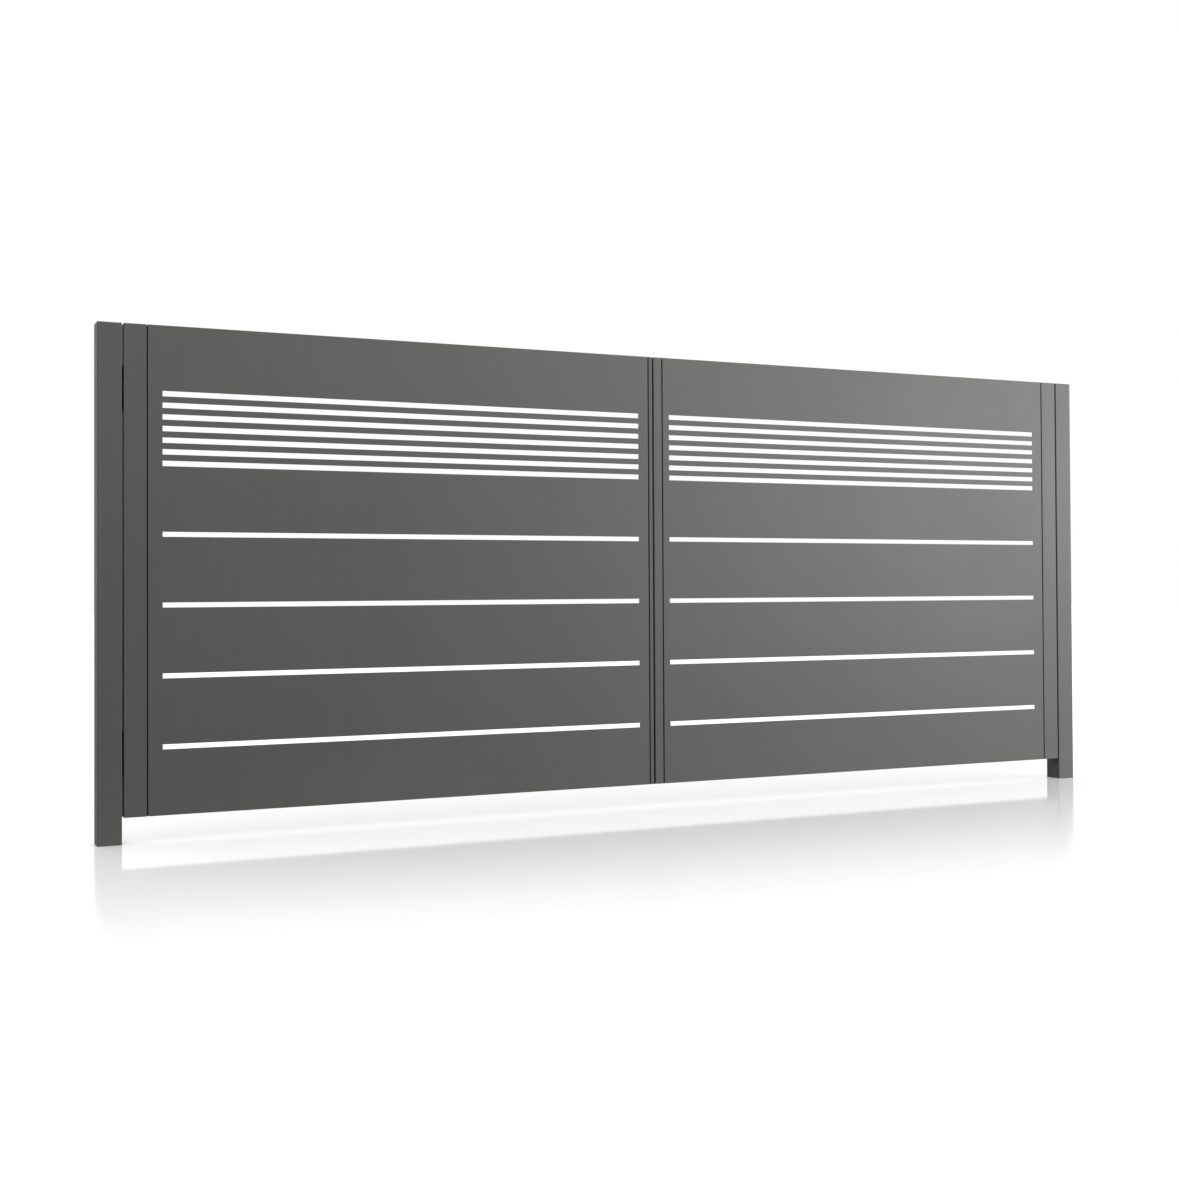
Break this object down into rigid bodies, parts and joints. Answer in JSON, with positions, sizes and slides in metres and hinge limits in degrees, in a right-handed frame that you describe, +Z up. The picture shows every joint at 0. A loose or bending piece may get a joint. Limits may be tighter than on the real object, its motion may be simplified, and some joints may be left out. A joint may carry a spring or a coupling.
{
  "type": "aluminium double swing gate",
  "caption": "Wide swing gate with a pair of flat slotted leaves hung between square posts.",
  "frame": {"origin": "centre of the flat foot of the left post, on the ground", "axes": "+X along the gate from the left post to the right post, +Y to the back, the side the leaves open to, +Z up"},
  "size_m": [4.16, 0.08, 1.75],
  "materials": {
    "powder_coated_aluminium": "satin grey powder coat",
    "moulded_cap": "matt grey",
    "pin_steel": "turned"
  },
  "bodies": {
    "posts": {"left_post": "powder_coated_aluminium", "left_post_cap": "moulded_cap", "right_post": "powder_coated_aluminium", "right_post_cap": "moulded_cap", "left_lower_post_hinge": "powder_coated_aluminium", "left_lower_hinge_pin": "pin_steel", "left_upper_post_hinge": "powder_coated_aluminium", "left_upper_hinge_pin": "pin_steel", "right_lower_post_hinge": "powder_coated_aluminium", "right_lower_hinge_pin": "pin_steel", "right_upper_post_hinge": "powder_coated_aluminium", "right_upper_hinge_pin": "pin_steel"},
    "left_leaf": {"left_hinge_stile": "powder_coated_aluminium", "left_hinge_stile_cap": "moulded_cap", "left_meeting_stile": "powder_coated_aluminium", "left_meeting_stile_cap": "moulded_cap", "left_face_tray": "powder_coated_aluminium", "left_top_rail": "powder_coated_aluminium", "left_middle_rail": "powder_coated_aluminium", "left_bottom_rail": "powder_coated_aluminium", "left_stiffener_1": "powder_coated_aluminium", "left_stiffener_2": "powder_coated_aluminium", "left_stiffener_3": "powder_coated_aluminium", "left_stiffener_4": "powder_coated_aluminium", "left_stiffener_5": "powder_coated_aluminium", "left_stiffener_6": "powder_coated_aluminium", "left_lower_leaf_hinge": "powder_coated_aluminium", "left_upper_leaf_hinge": "powder_coated_aluminium"},
    "right_leaf": {"right_hinge_stile": "powder_coated_aluminium", "right_hinge_stile_cap": "moulded_cap", "right_meeting_stile": "powder_coated_aluminium", "right_meeting_stile_cap": "moulded_cap", "right_face_tray": "powder_coated_aluminium", "right_top_rail": "powder_coated_aluminium", "right_middle_rail": "powder_coated_aluminium", "right_bottom_rail": "powder_coated_aluminium", "right_stiffener_1": "powder_coated_aluminium", "right_stiffener_2": "powder_coated_aluminium", "right_stiffener_3": "powder_coated_aluminium", "right_stiffener_4": "powder_coated_aluminium", "right_stiffener_5": "powder_coated_aluminium", "right_stiffener_6": "powder_coated_aluminium", "right_lower_leaf_hinge": "powder_coated_aluminium", "right_upper_leaf_hinge": "powder_coated_aluminium"}
  },
  "joints": [
    {"name": "left_leaf_swing", "type": "hinge", "parent": "posts", "child": "left_leaf", "pos_m": [0.057, 0.027, 0], "axis": [0, 0, 1], "range_deg": [0, 110]},
    {"name": "right_leaf_swing", "type": "hinge", "parent": "posts", "child": "right_leaf", "pos_m": [4.023, 0.027, 0], "axis": [0, 0, -1], "range_deg": [0, 110]}
  ]
}
